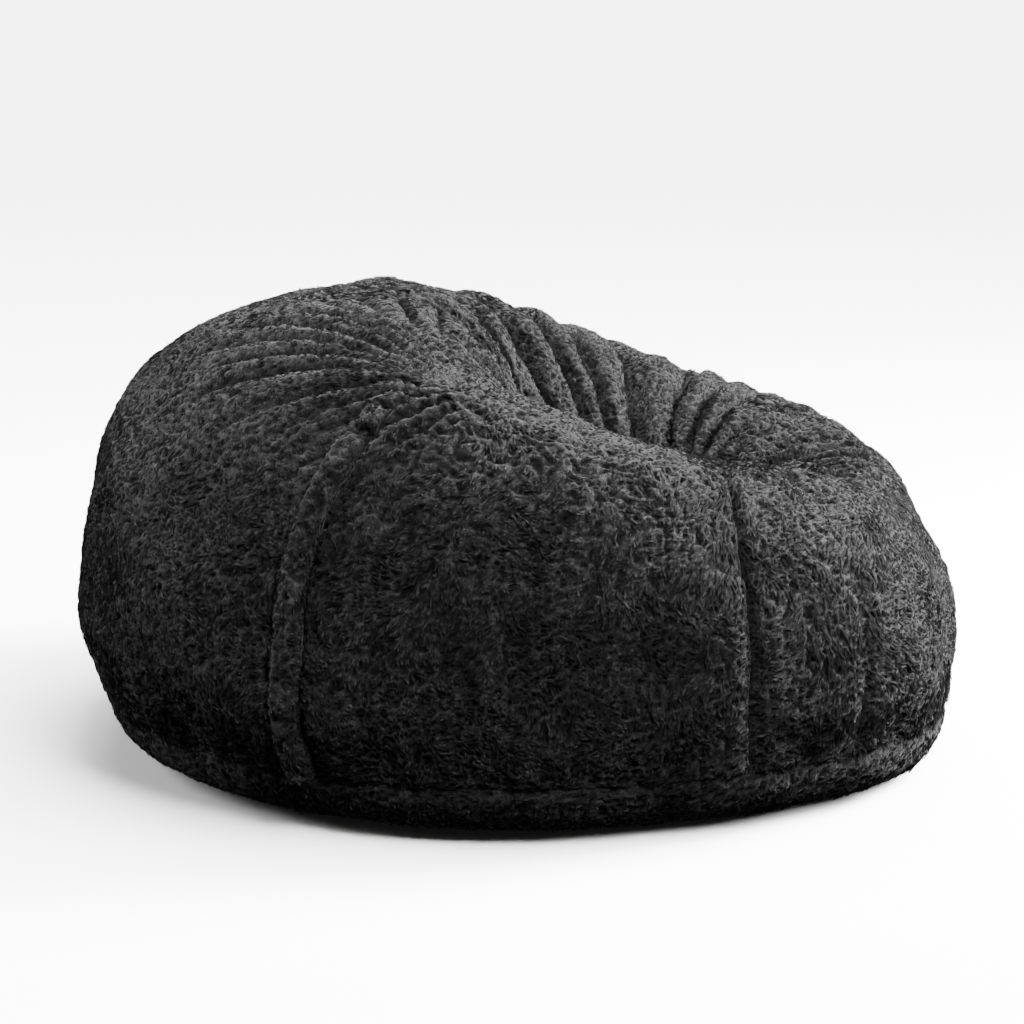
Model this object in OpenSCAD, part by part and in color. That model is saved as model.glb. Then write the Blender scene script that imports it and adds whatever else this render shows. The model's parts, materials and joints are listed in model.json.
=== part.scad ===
// Bean bag chair: a loose-fill lounge seat in a long-pile plush cover.
// Six gores rise from a round base, roll over a high back crest and a low front crest,
// and gather under a small round cap at the bottom of the seat hollow.
// +X is the seat's open front, +Z is up, and the origin is the middle of the footprint on the floor.

/* [Body] */
// Size front to back
body_length = 1200; // [1200:10:1240]
// Size side to side
body_width = 1170; // [1170:10:1190]
// Height of the crest behind the sitter
back_height = 625; // [590:5:650]
// Height of the crest under the sitter's knees
front_height = 385; // [370:5:410]

/* [Seat hollow] */
// Height of the bottom of the hollow
hollow_height = 310; // [290:5:320]
// How far the hollow lies in front of the middle
hollow_forward = 150; // [130:5:170]
// Radius of the opening that the gores gather into
gather_r = 60; // [54:1:66]

/* [Cover] */
// Thickness of the plush with its pile pressed down
plush = 8; // [6:0.5:8]
// Width of the raised seam band
band_width = 36; // [28:1:44]
// Height of the raised seam band
band_height = 9; // [6:0.5:12]

/* [Zips] */
// Length of the plate on the cover zip's pull
tab_length = 26; // [20:1:32]
// Length of the liner's straight zip
liner_zip_length = 420; // [300:10:500]

/* [Hidden] */
$fn = 96;

// Colours
plush_colour = "#2b2b2b";
binding_colour = "#1d1d1f";
tape_colour = "#161616";
coil_colour = "#303030";
metal_colour = "#8d8f92";
liner_colour = "#e7e3da";
foam_colour = "#dcc9a0";
label_colour = "#f2f2ee";

// Body outline
half_length = body_length / 2;
half_width = body_width / 2;
outline_power = 2.25; // 2 is an ellipse, more is squarer
side_lift = 40;       // crest height added at the sides
crest_forward = 50;   // how far the crest's middle lies in front of the body's
crest_power = 1.45;   // how late the crest climbs towards the back
base_forward = 10;    // how far the base sits in front of the middle
foot_r = 490;         // radius of the flat that stands on the floor
roll_r = 92;          // radius of the roll from the floor up to the base seam
roll_angle = 84;      // slope of the cover at the base seam
seam_r = foot_r + roll_r * sin(roll_angle);
seam_z = roll_r * (1 - cos(roll_angle));

// Grid of every soft wall: the layers share it, so their facets stay parallel
gore_count = 6;
gore_angle = 360 / gore_count;
gore_columns = 8;
side_rows = 4;
shoulder_rows = 6;
hollow_rows = 8;
wall_rows = side_rows + shoulder_rows + hollow_rows;
seam_gap = 0.8;   // half of the slit at a sewn seam
zip_gap = 8.5;    // half of the slit at the zip
edge_angle = 0.02; // half of the slit between two gores

// Layers, as depths below the outer face of the cover
binding_depth = plush + 1.2;
binding_thickness = 1.2;
liner_depth = 18;
liner_thickness = 1.5;
fill_depth = 24;

// ---- Shape of the body ----

// A value that is one thing at the back, one at the front and one at both sides
function around(a, back, front, side) =
    let (c = cos(a)) (back * (1 - c) + front * (1 + c)) / 2 * c * c + side * (1 - c * c);

function outline_r(a) =
    pow(pow(abs(cos(a)) / half_length, outline_power) + pow(abs(sin(a)) / half_width, outline_power),
        -1 / outline_power);

function belly_z(a) = around(a, 230, 140, 190);
function crest_r(a) = around(a, 200, 415, 465);
function crest_z(a) =
    front_height + (back_height - front_height) * pow((1 - cos(a)) / 2, crest_power)
    + side_lift * pow(sin(a), 2);

function out(a) = [cos(a), sin(a), 0];
function up(h) = [0, 0, h];
function flat(v) = [v[0], v[1], 0];
function unit(v) = v / norm(v);
function bezier(p0, p1, p2, p3, t) =
    pow(1 - t, 3) * p0 + 3 * pow(1 - t, 2) * t * p1 + 3 * (1 - t) * t * t * p2 + pow(t, 3) * p3;

// Points where one stretch of a gore meets the next
function seam_point(a) = [base_forward, 0, seam_z] + seam_r * out(a);
function belly_point(a) = outline_r(a) * out(a) + up(belly_z(a));
function crest_point(a) = [crest_forward, 0, crest_z(a)] + crest_r(a) * out(a);
function gather_point(a) = [hollow_forward, 0, hollow_height] + gather_r * out(a);

function side_rise(a) = belly_z(a) - seam_z;
function side_curve(a, t) =
    bezier(seam_point(a),
           seam_point(a) + side_rise(a) / 3 * (cos(roll_angle) * out(a) + up(sin(roll_angle))),
           belly_point(a) - up(side_rise(a) / 2),
           belly_point(a), t);

function shoulder_curve(a, t) =
    bezier(belly_point(a),
           belly_point(a) + around(a, 0.76, 0.52, 0.54) * up(crest_z(a) - belly_z(a)),
           crest_point(a) + around(a, 0.64, 0.47, 0.5) * flat(belly_point(a) - crest_point(a)),
           crest_point(a), t);

function hollow_curve(a, t) =
    bezier(crest_point(a),
           crest_point(a) + 0.7 * flat(gather_point(a) - crest_point(a)),
           gather_point(a) + 0.35 * flat(crest_point(a) - gather_point(a)),
           gather_point(a), t);

// A gore's outer face: t is 0 at the base seam, 1 at the belly, 2 at the crest and 3 at the gather
function skin(a, t) =
    t <= 1 ? side_curve(a, t) : t <= 2 ? shoulder_curve(a, t - 1) : hollow_curve(a, t - 2);

function along(a, t) = unit(skin(a, min(t + 0.01, 3)) - skin(a, max(t - 0.01, 0)));
function sideways(a, t) = unit(skin(a + 0.5, t) - skin(a - 0.5, t));
function normal(a, t) = unit(cross(sideways(a, t), along(a, t)));
function layer(a, t, depth) = skin(a, t) - depth * normal(a, t);

// Rows of a soft wall whose lowest edge is a gap above the base seam
function row_t(a, gap, row) =
    row == 0 ? gap / side_rise(a)
    : row <= side_rows ? row / side_rows
    : row <= side_rows + shoulder_rows ? 1 + (row - side_rows) / shoulder_rows
    : 2 + (row - side_rows - shoulder_rows) / hollow_rows;

// ---- Solids from grids of points ----

function flatten(rows) = [for (row = rows) for (p = row) p];

// A closed wall between two open grids of the same size
module wall(outer, inner) {
    rows = len(outer) - 1;
    cols = len(outer[0]) - 1;
    n = (rows + 1) * (cols + 1);
    function at(r, c) = r * (cols + 1) + c;
    faces = [
        for (r = [0:rows - 1]) for (c = [0:cols - 1]) each [
            [at(r, c), at(r + 1, c), at(r + 1, c + 1)],
            [at(r, c), at(r + 1, c + 1), at(r, c + 1)],
            [n + at(r, c), n + at(r + 1, c + 1), n + at(r + 1, c)],
            [n + at(r, c), n + at(r, c + 1), n + at(r + 1, c + 1)]],
        for (r = [0:rows - 1]) each [
            [at(r, 0), n + at(r + 1, 0), at(r + 1, 0)],
            [at(r, 0), n + at(r, 0), n + at(r + 1, 0)],
            [at(r, cols), at(r + 1, cols), n + at(r + 1, cols)],
            [at(r, cols), n + at(r + 1, cols), n + at(r, cols)]],
        for (c = [0:cols - 1]) each [
            [at(0, c), at(0, c + 1), n + at(0, c + 1)],
            [at(0, c), n + at(0, c + 1), n + at(0, c)],
            [at(rows, c), n + at(rows, c + 1), at(rows, c + 1)],
            [at(rows, c), n + at(rows, c), n + at(rows, c + 1)]]
    ];
    polyhedron(points = concat(flatten(outer), flatten(inner)), faces = faces);
}

// A closed solid swept through rings of points
module tube(rings) {
    sides = len(rings[0]);
    last = (len(rings) - 1) * sides;
    faces = [
        for (r = [0:len(rings) - 2]) for (k = [0:sides - 1])
            let (a = r * sides + k, b = r * sides + (k + 1) % sides)
            each [[a, a + sides, b + sides], [a, b + sides, b]],
        [for (k = [0:sides - 1]) k],
        [for (k = [sides - 1:-1:0]) last + k]
    ];
    polyhedron(points = flatten(rings), faces = faces);
}

// A ring, or part of one, about the middle of the base
module turned(from, to, section) {
    translate([base_forward, 0, 0]) rotate([0, 0, from]) rotate_extrude(angle = to - from) polygon(section);
}

module turned_round(from, to, centre, r) {
    translate([base_forward, 0, 0]) rotate([0, 0, from]) rotate_extrude(angle = to - from)
        translate(centre) circle(r = r);
}

// A box in the base seam's section: s runs up the slope of the cover and n points out of it
function at_seam(s, n) = [
    seam_r + s * cos(roll_angle) + n * sin(roll_angle),
    seam_z + s * sin(roll_angle) - n * cos(roll_angle)
];
function seam_box(s0, s1, n0, n1) = [at_seam(s0, n0), at_seam(s1, n0), at_seam(s1, n1), at_seam(s0, n1)];

// The section of the base, at a depth below the cover's outer face
function roll_end(gap) = roll_angle - gap / roll_r * 180 / PI;
function roll_point(depth, b) = [foot_r + (roll_r - depth) * sin(b), roll_r - (roll_r - depth) * cos(b)];
function dish(depth, thickness, gap) = concat(
    [[0, depth + thickness], [0, depth]],
    [for (i = [0:8]) roll_point(depth, roll_end(gap) * i / 8)],
    [for (i = [8:-1:0]) roll_point(depth + thickness, roll_end(gap) * i / 8)]);
function rim(depth, thickness, low_gap, high_gap) = [
    roll_point(depth, roll_end(low_gap)), roll_point(depth, roll_end(high_gap)),
    roll_point(depth + thickness, roll_end(high_gap)), roll_point(depth + thickness, roll_end(low_gap))];

// ---- Plush cover ----

module gore(index, gap, depth, thickness) {
    first = index * gore_angle + edge_angle;
    step = (gore_angle - 2 * edge_angle) / gore_columns;
    columns = [for (c = [0:gore_columns]) first + c * step];
    wall([for (row = [0:wall_rows]) [for (a = columns) layer(a, row_t(a, gap, row), depth)]],
         [for (row = [0:wall_rows]) [for (a = columns) layer(a, row_t(a, gap, row), depth + thickness)]]);
}

module cover_gore(index, gap = seam_gap) {
    color(plush_colour) gore(index, gap, 0, plush);
}

// The base reaches the seam all round except along the zip
module cover_base() {
    color(plush_colour) union() {
        turned(0, 360, dish(0, plush, zip_gap));
        turned(180, 420, rim(0, plush, zip_gap, seam_gap));
    }
}

cap_r = gather_r + 6;
cap_rise = 9;
cap_dome_r = (cap_r * cap_r + cap_rise * cap_rise) / (2 * cap_rise);
module cover_top_cap() {
    color(plush_colour) translate([hollow_forward, 0, hollow_height + 3]) intersection() {
        translate([0, 0, cap_rise - cap_dome_r]) sphere(r = cap_dome_r);
        cylinder(r = cap_r, h = cap_rise + 1);
    }
}

module gather_cord() {
    color(binding_colour) translate([hollow_forward, 0, hollow_height - plush / 2])
        rotate_extrude() translate([gather_r - 6, 0]) circle(r = 2.5);
}

// The raised band over the seam on the back right: half widths and heights of its section
band_azimuth = 240;
band_section = [[-1, 0], [-0.92, 0.62], [-0.55, 1], [0.55, 1], [0.92, 0.62], [1, 0]];
module seam_band() {
    a = band_azimuth;
    color(plush_colour) tube([for (row = [0:side_rows + shoulder_rows])
        let (t = row_t(a, 6, row))
        [for (p = band_section)
            skin(a, t) + p[0] * band_width / 2 * sideways(a, t) + max(0.6, p[1] * band_height) * normal(a, t)]]);
}

label_azimuth = 46;
label_angle = 3.2;
module care_label() {
    color(label_colour) union() {
        turned(label_azimuth, label_azimuth + label_angle, seam_box(-0.2, 0.2, -7, 1.2));
        turned(label_azimuth, label_azimuth + label_angle, seam_box(-38, 0.2, 1.2, 1.6));
    }
}

// A strip sewn behind each seam between gores: it narrows towards the gather
binding_half = 8;
module seam_binding(a) {
    color(binding_colour) tube([for (row = [1:wall_rows - 1])
        let (t = row_t(a, 0, row), n = normal(a, t), top = skin(a, t) - binding_depth * n,
             side = binding_half * min(1, 2.2 - 0.6 * t) * sideways(a, t), drop = binding_thickness * n)
        [top + side - drop, top - side - drop, top - side, top + side]]);
}

module base_seam_binding() {
    color(binding_colour) turned(180.5, 419.5, seam_box(-8, 8, -binding_depth - 2.4, -binding_depth - 1.2));
}

// ---- Cover zip, in the base seam across the left and back-left gores ----

zip_from = 60.3;
zip_to = 179.7;
tape_face = -10;      // outer face of the tapes
tape_thickness = 0.8;
tape_width = 14;
coil_r = 1.4;
coil_s = 1.9;         // how far each coil's middle lies from the slit
coil_n = tape_face + coil_r + 0.1;

module zip_tape(s) {
    color(tape_colour) turned(zip_from, zip_to, seam_box(s, s + tape_width, tape_face - tape_thickness, tape_face));
}

module zip_coil(s) {
    color(coil_colour) turned_round(zip_from + 1, zip_to - 1, at_seam(s, coil_n), coil_r);
}

module zip_end(a) {
    color(metal_colour) turned(a, a + 0.4, seam_box(-3.6, 3.6, coil_n + coil_r + 0.1, coil_n + coil_r + 1));
}

slider_azimuth = 65;   // the slider is parked here with the zip closed
slider_angle = 1.4;
slider_half = 6;
plate_thickness = 1.2;
outer_plate = coil_n + coil_r + 0.6;              // inner face of the outer plate
inner_plate = tape_face - tape_thickness - 0.8;   // outer face of the inner plate
post_r = 1.6;
button_r = 2.8;
link_n = 1.2;          // inner face of the pull's link
link_thickness = 1.6;
link_length = 11;      // from the swivel post to the tab's hinge
link_r = 4;
hinge_r = 1.6;
pin_r = 0.9;
hinge_n = link_n + link_thickness / 2;
lug_inner = 1.9;
lug_outer = 3.9;

// Local axes at the parked slider: +X down the slope of the cover, +Z out of it
module at_slider() {
    translate([base_forward, 0, 0]) rotate([0, 0, slider_azimuth + slider_angle / 2])
        translate([seam_r, 0, seam_z]) rotate([0, 180 - roll_angle, 0]) children();
}

module cover_zip_slider() {
    a0 = slider_azimuth;
    a1 = slider_azimuth + slider_angle;
    color(metal_colour) union() {
        turned(a0, a1, seam_box(-slider_half, slider_half, outer_plate, outer_plate + plate_thickness));
        turned(a0, a1, seam_box(-slider_half, slider_half, inner_plate - plate_thickness, inner_plate));
        turned(a0 + 0.3, a1 - 0.3, seam_box(-0.3, 0.3, inner_plate - 0.2, outer_plate + 0.2));
        at_slider() {
            translate([0, 0, outer_plate + 0.4]) cylinder(r = post_r, h = link_n + link_thickness + 0.6 - outer_plate);
            translate([0, 0, link_n + link_thickness + 0.4]) cylinder(r = button_r, h = 0.8);
        }
    }
}

module zip_pull_link() {
    color(metal_colour) at_slider() difference() {
        union() {
            translate([0, 0, link_n]) cylinder(r = link_r, h = link_thickness);
            translate([0, -1.6, link_n]) cube([link_length, 3.2, link_thickness]);
            translate([link_length, 1.6, hinge_n]) rotate([90, 0, 0]) cylinder(r = hinge_r, h = 3.2);
        }
        translate([0, 0, link_n - 1]) cylinder(r = post_r + 0.3, h = link_thickness + 2);
        translate([link_length, 3, hinge_n]) rotate([90, 0, 0]) cylinder(r = pin_r, h = 6);
    }
}

module zip_pull_pin() {
    color(metal_colour) at_slider() translate([link_length, lug_outer, hinge_n])
        rotate([90, 0, 0]) cylinder(r = pin_r, h = 2 * lug_outer);
}

// The tab hangs straight down from its hinge
module zip_pull_tab() {
    color(metal_colour) at_slider() translate([link_length, 0, hinge_n]) rotate([0, roll_angle - 90, 0])
        difference() {
            union() {
                for (y = [-lug_outer, lug_inner]) {
                    translate([0, y + lug_outer - lug_inner, 0]) rotate([90, 0, 0])
                        cylinder(r = hinge_r, h = lug_outer - lug_inner);
                    translate([0, y, -0.8]) cube([4, lug_outer - lug_inner, 1.6]);
                }
                translate([2.6, -4.5, -0.8]) cube([tab_length - 7.1, 9, 1.6]);
                translate([tab_length - 4.5, 0, -0.8]) cylinder(r = 4.5, h = 1.6);
            }
            translate([0, 6, 0]) rotate([90, 0, 0]) cylinder(r = pin_r + 0.2, h = 12);
            translate([tab_length - 4.5, 0, -2]) cylinder(r = 1.8, h = 4);
        }
}

// ---- Inner liner ----

slot_half = 5.5;
module liner_panel(index) {
    color(liner_colour) gore(index, seam_gap, liner_depth, liner_thickness);
}

module liner_base() {
    color(liner_colour) difference() {
        turned(0, 360, dish(liner_depth, liner_thickness, seam_gap));
        translate([-liner_zip_length / 2, -slot_half, liner_depth - 2])
            cube([liner_zip_length, 2 * slot_half, liner_thickness + 4]);
    }
}

module liner_top_cap() {
    color(liner_colour) translate([hollow_forward, 0, hollow_height - liner_depth - liner_thickness])
        cylinder(r = gather_r - 1.5, h = liner_thickness);
}

liner_tape_z = liner_depth + liner_thickness + 0.1;
liner_coil_r = 1;
liner_coil_y = 1.4;
liner_coil_z = liner_tape_z - liner_coil_r - 0.05;
liner_plate_z = liner_coil_z - liner_coil_r - 0.4;   // inner face of the slider's outer plate
liner_inner_z = liner_tape_z + 0.7 + 0.5;            // outer face of its inner plate

module liner_tape(y) {
    color(tape_colour) translate([-liner_zip_length / 2 - 8, y, liner_tape_z])
        cube([liner_zip_length + 16, 11.6, 0.7]);
}

module liner_coil(y) {
    color(coil_colour) translate([-liner_zip_length / 2 + 1, y, liner_coil_z])
        rotate([0, 90, 0]) cylinder(r = liner_coil_r, h = liner_zip_length - 2);
}

module liner_zip_end(x) {
    color(metal_colour) translate([x, -2.4, liner_coil_z - liner_coil_r - 0.9]) cube([2, 4.8, 0.8]);
}

module liner_zip_slider() {
    color(metal_colour) translate([-liner_zip_length / 2 + 8, 0, 0]) union() {
        translate([0, -4.5, liner_plate_z - 1]) cube([10, 9, 1]);
        translate([0, -4.5, liner_inner_z]) cube([10, 9, 1]);
        translate([3, -0.2, liner_plate_z - 0.2]) cube([4, 0.4, liner_inner_z - liner_plate_z + 0.4]);
    }
}

// ---- Filling ----

module foam_fill() {
    angles = [for (c = [0:gore_count * gore_columns - 1]) c * gore_angle / gore_columns];
    color(foam_colour) tube(concat(
        [for (i = [0:4]) let (p = roll_point(fill_depth, roll_end(4) * i / 4))
            [for (a = angles) [base_forward, 0, p[1]] + p[0] * out(a)]],
        [for (row = [1:wall_rows]) [for (a = angles) layer(a, row_t(a, 0, row), fill_depth)]]));
}

// ---- Nodes ----

cover_gore(0);  // cover_front_left
cover_gore(1, zip_gap);  // cover_left
cover_gore(2, zip_gap);  // cover_back_left
cover_gore(3);  // cover_back_right
cover_gore(4);  // cover_right
cover_gore(5);  // cover_front_right
cover_base();
cover_top_cap();
gather_cord();
seam_band();
care_label();
seam_binding(0);  // seam_binding_front
seam_binding(60);  // seam_binding_front_left
seam_binding(120);  // seam_binding_back_left
seam_binding(180);  // seam_binding_back
seam_binding(240);  // seam_binding_back_right
seam_binding(300);  // seam_binding_front_right
base_seam_binding();
zip_tape(0.5);  // cover_zip_tape_upper
zip_tape(-0.5 - tape_width);  // cover_zip_tape_lower
zip_coil(coil_s);  // cover_zip_coil_upper
zip_coil(-coil_s);  // cover_zip_coil_lower
zip_end(zip_from + 1.5);  // cover_zip_end_left
zip_end(zip_to - 1.9);  // cover_zip_end_back
cover_zip_slider();
zip_pull_link();
zip_pull_pin();
zip_pull_tab();
liner_panel(0);  // liner_front_left
liner_panel(1);  // liner_left
liner_panel(2);  // liner_back_left
liner_panel(3);  // liner_back_right
liner_panel(4);  // liner_right
liner_panel(5);  // liner_front_right
liner_base();
liner_top_cap();
liner_tape(0.4);  // liner_zip_tape_left
liner_tape(-12);  // liner_zip_tape_right
liner_coil(liner_coil_y);  // liner_zip_coil_left
liner_coil(-liner_coil_y);  // liner_zip_coil_right
liner_zip_end(liner_zip_length / 2 - 4);  // liner_zip_end_front
liner_zip_end(-liner_zip_length / 2 + 2);  // liner_zip_end_back
liner_zip_slider();
foam_fill();
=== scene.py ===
"""Looks for the bean bag chair: plush gores with pleats and pile, seams, base roll, zip and liner."""
import json
import math

import bpy
import numpy as np
from mathutils import Matrix, Vector


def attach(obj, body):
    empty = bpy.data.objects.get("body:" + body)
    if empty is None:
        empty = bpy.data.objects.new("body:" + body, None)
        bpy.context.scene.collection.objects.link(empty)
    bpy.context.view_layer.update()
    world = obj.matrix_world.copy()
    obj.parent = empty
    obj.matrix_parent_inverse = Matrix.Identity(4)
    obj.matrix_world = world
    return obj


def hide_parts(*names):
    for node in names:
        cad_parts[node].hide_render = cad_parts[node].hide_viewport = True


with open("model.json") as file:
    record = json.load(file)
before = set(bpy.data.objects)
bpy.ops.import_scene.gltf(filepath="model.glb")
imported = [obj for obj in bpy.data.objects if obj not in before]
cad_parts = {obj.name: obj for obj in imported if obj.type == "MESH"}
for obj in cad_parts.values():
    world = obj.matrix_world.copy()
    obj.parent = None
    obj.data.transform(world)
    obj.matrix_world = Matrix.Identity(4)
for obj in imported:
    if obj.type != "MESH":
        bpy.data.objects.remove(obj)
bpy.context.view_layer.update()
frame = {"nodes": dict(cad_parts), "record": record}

# ---- The body's shape, in metres, as in part.scad ----

HALF_LENGTH, HALF_WIDTH, OUTLINE_POWER = 0.600, 0.585, 2.25
FRONT_H, BACK_H, SIDE_LIFT, CREST_POWER = 0.385, 0.625, 0.040, 1.45
CREST_FORWARD, HOLLOW_FORWARD, HOLLOW_H, GATHER_R = 0.050, 0.150, 0.310, 0.060
BASE_FORWARD, FOOT_R, ROLL_R, ROLL_ANGLE = 0.010, 0.490, 0.092, math.radians(84)
BELLY_Z = (0.230, 0.140, 0.190)            # at the back, the front and the sides, as below
CREST_R = (0.200, 0.415, 0.465)
SHOULDER_RISE = (0.76, 0.52, 0.54)         # the curve's pull up from the belly, as a share of the height
SHOULDER_IN = (0.64, 0.47, 0.50)           # and out from the crest, as a share of the distance
HOLLOW_PULL = (0.70, 0.35)                 # at the crest and at the gather
SEAM_R = FOOT_R + ROLL_R * math.sin(ROLL_ANGLE)
SEAM_Z = ROLL_R * (1 - math.cos(ROLL_ANGLE))
GORES = ["front_left", "left", "back_left", "back_right", "right", "front_right"]
TAU = 2 * math.pi


def around(a, back, front, side):
    """A value that passes smoothly from back to side to front round the sack."""
    c = np.cos(a)
    return (back * (1 - c) + front * (1 + c)) / 2 * c * c + side * (1 - c * c)


def out(a):
    """Level unit vectors at these azimuths."""
    return np.stack([np.cos(a), np.sin(a), 0 * a], -1)


def up(h):
    return np.stack([0 * h, 0 * h, h], -1)


def flat(v):
    return v * np.array([1.0, 1.0, 0.0])


def bezier(p0, p1, p2, p3, t):
    t = t[..., None]
    return (1 - t) ** 3 * p0 + 3 * (1 - t) ** 2 * t * p1 + 3 * (1 - t) * t * t * p2 + t ** 3 * p3


def skin(a, t):
    """The cover's smooth outer face: t is -1 at the foot, 0 at the base seam, 1 belly, 2 crest, 3 gather."""
    a, t = np.broadcast_arrays(a, t)
    outline = ((np.abs(np.cos(a)) / HALF_LENGTH) ** OUTLINE_POWER
               + (np.abs(np.sin(a)) / HALF_WIDTH) ** OUTLINE_POWER) ** (-1 / OUTLINE_POWER)
    belly_z = around(a, *BELLY_Z)
    crest_z = (FRONT_H + (BACK_H - FRONT_H) * ((1 - np.cos(a)) / 2) ** CREST_POWER
               + SIDE_LIFT * np.sin(a) ** 2)
    seam = np.array([BASE_FORWARD, 0, SEAM_Z]) + SEAM_R * out(a)
    belly = outline[..., None] * out(a) + up(belly_z)
    crest = np.array([CREST_FORWARD, 0, 0]) + around(a, *CREST_R)[..., None] * out(a) + up(crest_z)
    gather = np.array([HOLLOW_FORWARD, 0, HOLLOW_H]) + GATHER_R * out(a)
    rise = (belly_z - SEAM_Z)[..., None]
    lean = np.array([0, 0, math.sin(ROLL_ANGLE)]) + math.cos(ROLL_ANGLE) * out(a)
    side = bezier(seam, seam + rise / 3 * lean, belly - up(rise[..., 0] / 2), belly, np.clip(t, 0, 1))
    shoulder = bezier(belly, belly + around(a, *SHOULDER_RISE)[..., None] * up(crest_z - belly_z),
                      crest + around(a, *SHOULDER_IN)[..., None] * flat(belly - crest), crest,
                      np.clip(t - 1, 0, 1))
    hollow = bezier(crest, crest + HOLLOW_PULL[0] * flat(gather - crest),
                    gather + HOLLOW_PULL[1] * flat(crest - gather), gather, np.clip(t - 2, 0, 1))
    turn = np.clip(1 + t, 0, 1) * ROLL_ANGLE
    roll = (np.array([BASE_FORWARD, 0, 0]) + (FOOT_R + ROLL_R * np.sin(turn))[..., None] * out(a)
            + up(ROLL_R * (1 - np.cos(turn))))
    t = t[..., None]
    return np.where(t <= 0, roll, np.where(t <= 1, side, np.where(t <= 2, shoulder, hollow)))


# ---- Noise ----

def noise(p, size, seed):
    """Smooth value noise from -1 to 1, whose lumps are about size across."""
    p = p / size + seed * 17.31
    cell = np.floor(p).astype(np.int64)
    f = p - cell
    u = f * f * f * (f * (f * 6 - 15) + 10)
    total = np.zeros(p.shape[:-1])
    for corner in range(8):
        d = np.array([corner & 1, corner >> 1 & 1, corner >> 2 & 1])
        k = cell + d
        # A hash of the cell's corner
        h = k[..., 0] * 73856093 ^ k[..., 1] * 19349663 ^ k[..., 2] * 83492791
        h = (h ^ h >> 13) * 1274126177 & 0x7FFFFFFF
        h = (h ^ h >> 15) * 668265263 & 0x7FFFFFFF
        w = np.prod(np.where(d == 1, u, 1 - u), axis=-1)
        total += w * (h / 0x3FFFFFFF - 1)
    return total


def smooth(x, lo, hi):
    """0 below lo, 1 above hi, and a smooth step between."""
    s = np.clip((x - lo) / (hi - lo), 0, 1)
    return s * s * (3 - 2 * s)


def angle_gap(a, b):
    """Signed angle from b to a, from -pi to pi."""
    return (a - b + math.pi) % TAU - math.pi


# ---- Large folds, seams and lumps, as heights along the face's normal ----

def uneven_folds(p, centre, count, seed):
    """Folds that fan out of a centre: 0 in each fold's narrow valley and 1 on its ridge."""
    angle = np.arctan2(p[..., 1] - centre[1], p[..., 0] - centre[0])
    angle = angle + 0.04 * noise(p, 0.16, seed) + 0.014 * noise(p, 0.05, seed + 1)
    ring = out(angle) * count / TAU / 2.3
    return np.abs(np.sin(math.pi * (angle / TAU * count + 0.45 * noise(ring, 1.0, seed + 2))))


def near_azimuth(a, degrees, spread):
    return np.exp(-(angle_gap(a, math.radians(degrees)) / math.radians(spread)) ** 2)


HOLLOW_FOCUS = (0.20, 0.0)       # where the folds inside the hollow would meet
NEAR_FOCUS = (0.02, -0.43)       # where the folds over the left shoulder meet, on the near rim
TUBES, TUBE_DEPTH = 34, 0.034    # large folds into the hollow: their number round it, and depth
RIBS, RIB_DEPTH = 84, 0.014      # small folds between them
SWEEPS, SWEEP_DEPTH = 50, 0.017  # folds over the left shoulder


def pleats(p, a, t):
    """Folds round the hollow and over the left shoulder: their height, and how near a valley a point is."""
    tubes = uneven_folds(p, HOLLOW_FOCUS, TUBES, 3)
    ribs = uneven_folds(p, HOLLOW_FOCUS, RIBS, 13)
    sweep = uneven_folds(p, NEAR_FOCUS, SWEEPS, 23)
    gap = np.degrees(angle_gap(a, math.radians(228)))
    left = smooth(gap, -40, -20) * (1 - smooth(gap, 24, 38)) * (1 - smooth(t, 2.15, 2.40))
    near = near_azimuth(a, 278, 30)
    start = (1.74 + 0.10 * near_azimuth(a, 95, 45) - 0.14 * near_azimuth(a, 190, 50) + 0.14 * near
             + 0.08 * noise(out(a) * 0.5, 0.07, 7))
    reach = smooth(t, start, start + 0.46) * (1 - smooth(t, 2.75, 3.0))
    strength = 0.85 + 0.4 * noise(p, 0.13, 8)
    back = near_azimuth(a, 175, 35)
    deep = (1 - left) * (1 - 0.45 * back) * (1 - 0.7 * near)
    height = reach * strength * (deep * TUBE_DEPTH * (tubes ** 0.7 - 0.62)
                                 + (0.10 + 0.5 * back + 0.3 * near) * (1 - left) * RIB_DEPTH * (ribs - 0.5))
    begin = 1.46 + 0.12 * noise(out(a) * 0.6, 0.05, 9) + 0.30 * smooth(gap, 12, 26)
    far = np.hypot(p[..., 0] - NEAR_FOCUS[0], p[..., 1] - NEAR_FOCUS[1])
    hump = left * smooth(t, begin, begin + 0.30) * smooth(far, 0.01, 0.14) * (0.6 + 0.4 * strength)
    height = height + hump * SWEEP_DEPTH * (sweep ** 0.6 - 0.66)
    crease = reach * deep * np.exp(-(tubes / 0.24) ** 2) + 1.2 * hump * np.exp(-(sweep / 0.26) ** 2)
    return height, np.clip(crease, 0, 1)


def seam_line(a, azimuth, width):
    """1 on a seam or crease that runs up the side at this azimuth, 0 away from it."""
    return np.exp(-(angle_gap(a, azimuth) * 0.56 / width) ** 2)


def lumps(p):
    """The uneven filling felt through the cloth."""
    return 0.010 * noise(p, 0.26, 11) + 0.006 * noise(p, 0.12, 12) + 0.0025 * noise(p, 0.05, 13)


def bend_azimuth(a, t):
    """Seams wander a little, as sewn seams do on a slack sack."""
    left, right = near_azimuth(a, 242, 24), near_azimuth(a, 300, 22)
    return a + math.radians(3.2) * left * (1 + 1.6 * smooth(t, 1.2, 1.9)) - math.radians(1.6) * right


def base_seam(a):
    """How clearly the base seam shows: it sinks into the pile towards the back and the left."""
    return 0.25 + 0.75 * smooth(np.cos(a - math.radians(305)), 0.1, 0.9)


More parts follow.
